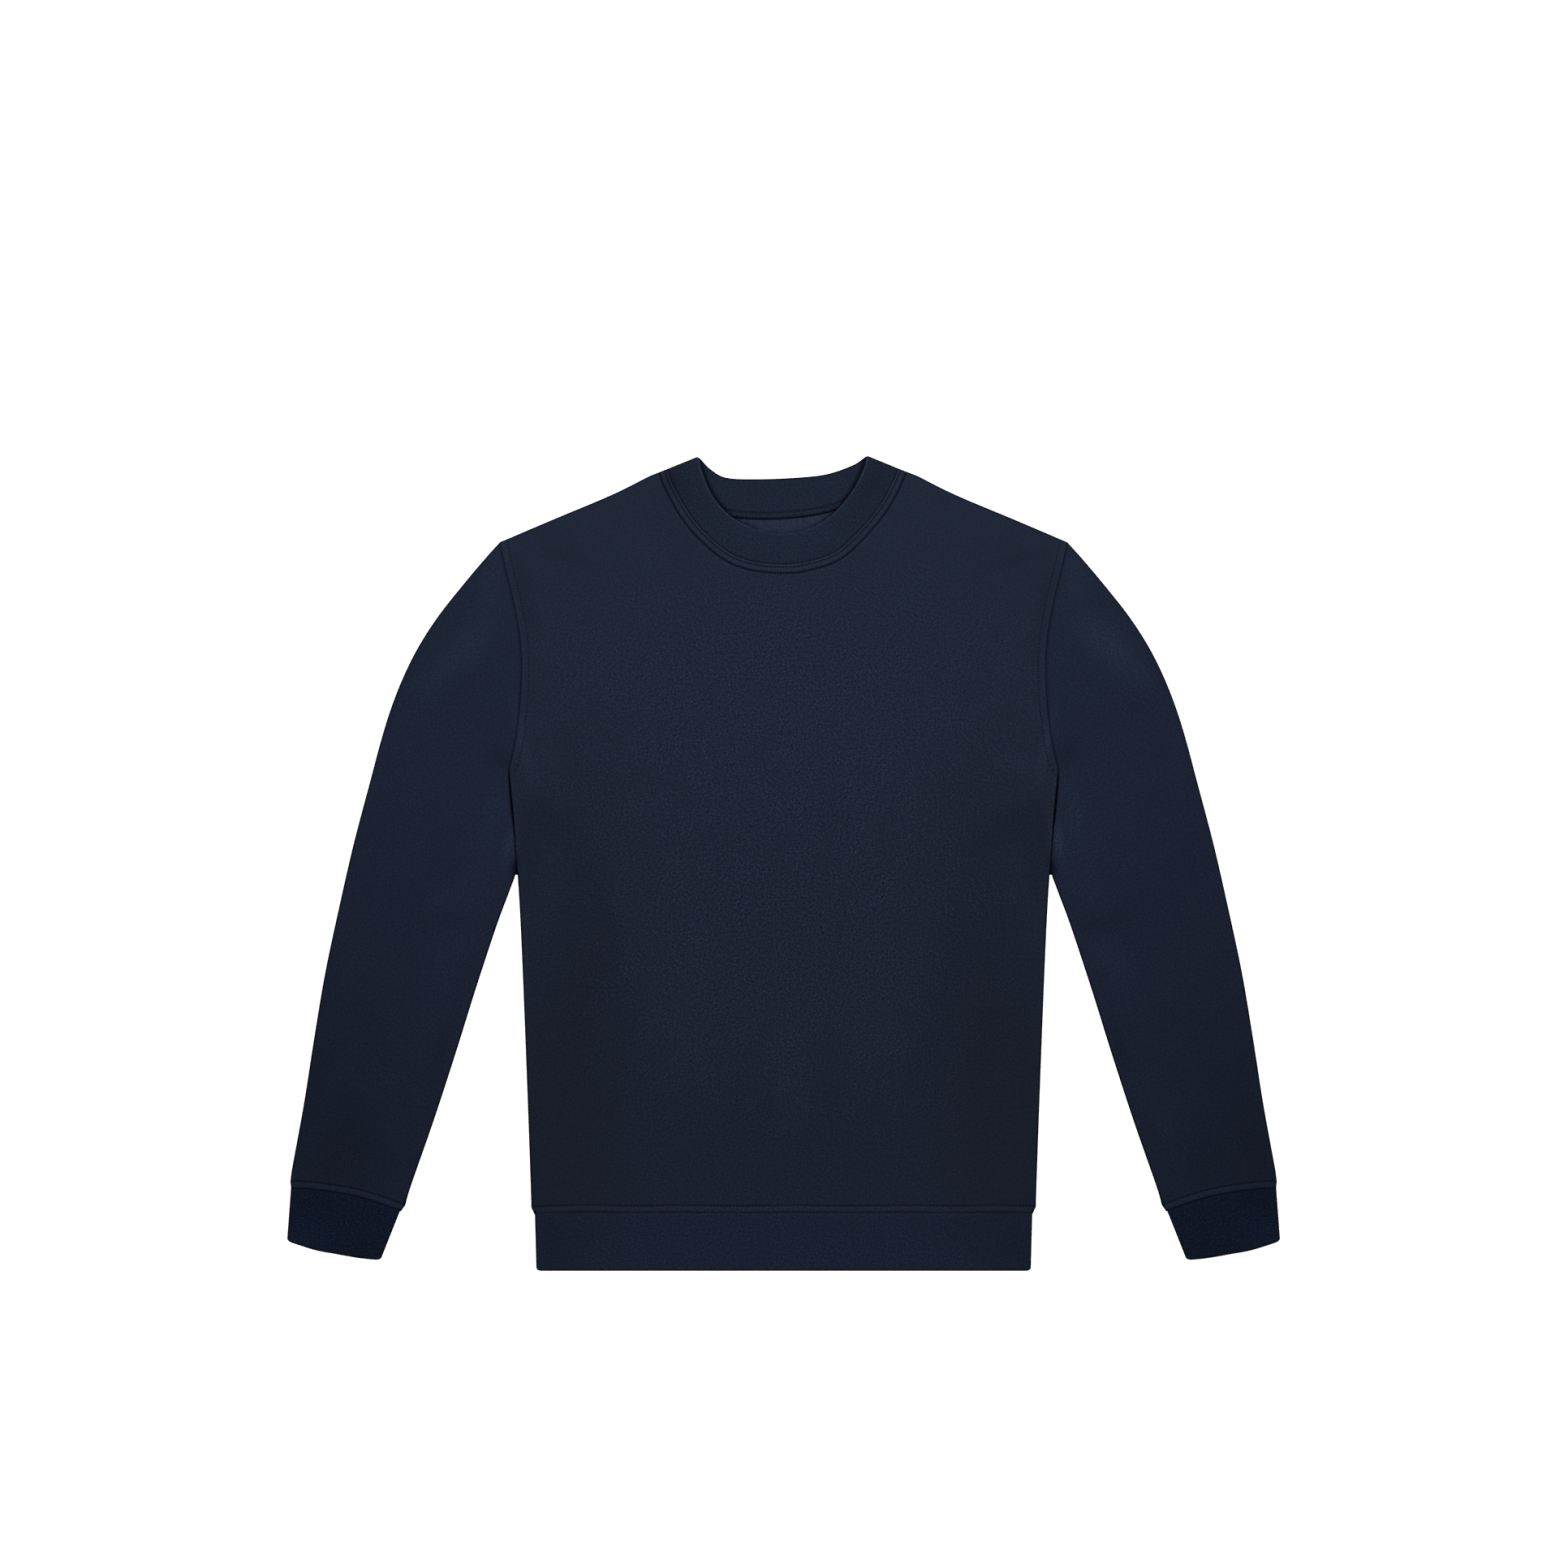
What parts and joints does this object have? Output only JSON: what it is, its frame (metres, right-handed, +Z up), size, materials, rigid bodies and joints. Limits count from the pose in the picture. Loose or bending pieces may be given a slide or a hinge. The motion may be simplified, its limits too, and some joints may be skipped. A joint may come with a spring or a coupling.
{
  "type": "crewneck sweatshirt",
  "caption": "Long-sleeved crewneck sweatshirt in dark navy fleece with a rib neckband, cuffs and hem band, laid flat with its front up.",
  "frame": {"origin": "on the surface that the garment lies on, under the middle of its outline", "axes": "+X across the garment towards the wearer's left, +Y towards the neck, +Z up from the surface, out of the garment's front"},
  "size_m": [0.8806, 0.7228, 0.0074],
  "materials": {
    "fleece": "dark navy sweatshirt fleece with a fine knit face",
    "rib": "dark navy fine rib knit, folded double",
    "cuff_rib": "darker navy fine rib knit, folded double"
  },
  "bodies": {
    "root": {"front_panel": "fleece", "back_panel": "fleece", "sleeve_right": "fleece", "sleeve_left": "fleece", "neckband": "rib", "hem_band": "rib", "cuff_right": "cuff_rib", "cuff_left": "cuff_rib"}
  },
  "joints": []
}
